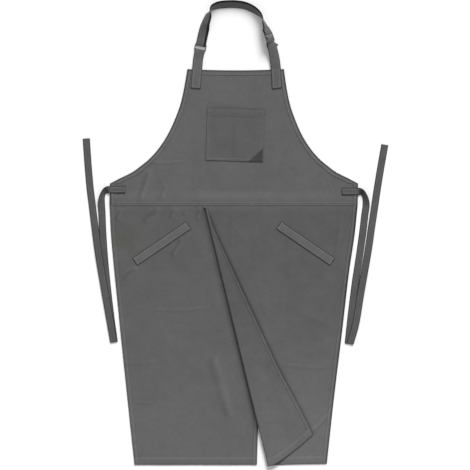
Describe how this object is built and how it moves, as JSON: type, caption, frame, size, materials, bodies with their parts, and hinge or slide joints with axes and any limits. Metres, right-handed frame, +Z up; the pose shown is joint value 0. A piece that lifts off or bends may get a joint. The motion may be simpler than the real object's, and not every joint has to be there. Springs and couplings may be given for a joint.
{
  "type": "split-leg apron",
  "caption": "Full-length split-leg work apron lying flat: bib with pocket, skirt rolled back along the split, slanted pocket welts, twisted neck strap with ring and slide buckle, waist ties.",
  "frame": {"origin": "On the ground below the middle of the waist seam, on the underside of the left leg panel.", "axes": "+Z up from the ground that the apron lies on, +Y from the hem up the bib to the neck strap, +X to the right for someone looking down at it."},
  "size_m": [0.8618, 1.3146, 0.0305],
  "materials": {
    "apron_cloth": "matt grey canvas, light heather",
    "pocket_cloth": "matt grey canvas",
    "strap_cloth": "matt grey folded canvas",
    "patch_cloth": "matt dark grey",
    "antique_brass": "antiqued, satin",
    "ring_metal": "dark satin"
  },
  "bodies": {
    "root": {"leg_left": "apron_cloth", "leg_right": "apron_cloth", "bib": "apron_cloth", "bib_pocket": "pocket_cloth", "pocket_corner": "patch_cloth", "welt_left": "apron_cloth", "welt_right": "apron_cloth", "neck_tab": "strap_cloth", "strap_ring": "ring_metal", "neck_strap": "strap_cloth", "slide_buckle": "antique_brass", "adjuster_strap": "strap_cloth", "waist_tie_left": "strap_cloth", "waist_tie_right": "strap_cloth"}
  },
  "joints": []
}
